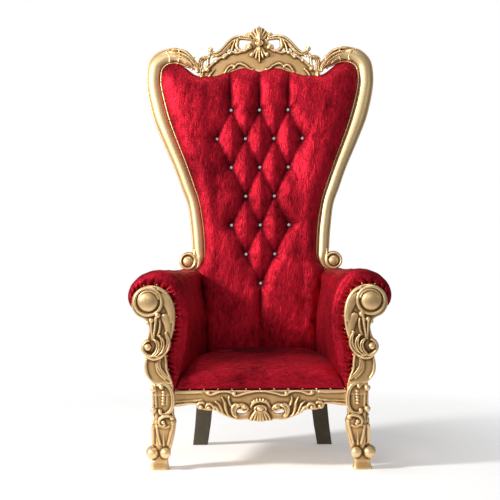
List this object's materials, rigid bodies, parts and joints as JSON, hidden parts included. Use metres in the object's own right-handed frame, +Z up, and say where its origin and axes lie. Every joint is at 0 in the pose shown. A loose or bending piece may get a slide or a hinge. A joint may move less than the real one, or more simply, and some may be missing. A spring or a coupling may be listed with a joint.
{
  "type": "throne",
  "caption": "High-backed carved and gilded throne with buttoned red velvet back, roll-over arms, pierced crest and apron and ball feet.",
  "frame": {"origin": "on the floor, at the bottom centre of the whole throne's bounding box", "axes": "+X to the sitter's left as seen from the front (the viewer's right), -Y towards the front, +Z up"},
  "size_m": [1.0438, 0.8058, 1.8291],
  "materials": {
    "gilded_wood": "metallic gold paint over carved wood, toned brown in the hollows",
    "velvet": "crushed red velvet over foam",
    "dark_wood": "dark brown stain, satin",
    "plywood": "plain plywood",
    "crystal": "clear cut crystal, foiled behind"
  },
  "bodies": {
    "root": {"crest_rail": "gilded_wood", "back_stile_left": "gilded_wood", "back_stile_right": "gilded_wood", "arm_front_left": "gilded_wood", "arm_front_right": "gilded_wood", "front_leg_left": "gilded_wood", "front_leg_right": "gilded_wood", "seat_rail_front": "gilded_wood", "seat_rail_left": "gilded_wood", "seat_rail_right": "gilded_wood", "seat_rail_rear": "gilded_wood", "back_cushion": "velvet", "outer_back": "velvet", "arm_pad_left": "velvet", "arm_pad_right": "velvet", "seat_cushion": "velvet", "rear_leg_left": "dark_wood", "rear_leg_right": "dark_wood", "seat_board": "plywood", "button_01": "crystal", "button_02": "crystal", "button_03": "crystal", "button_04": "crystal", "button_05": "crystal", "button_06": "crystal", "button_07": "crystal", "button_08": "crystal", "button_09": "crystal", "button_10": "crystal", "button_11": "crystal", "button_12": "crystal", "button_13": "crystal", "button_14": "crystal", "button_15": "crystal", "button_16": "crystal", "button_17": "crystal", "button_18": "crystal"}
  },
  "joints": []
}
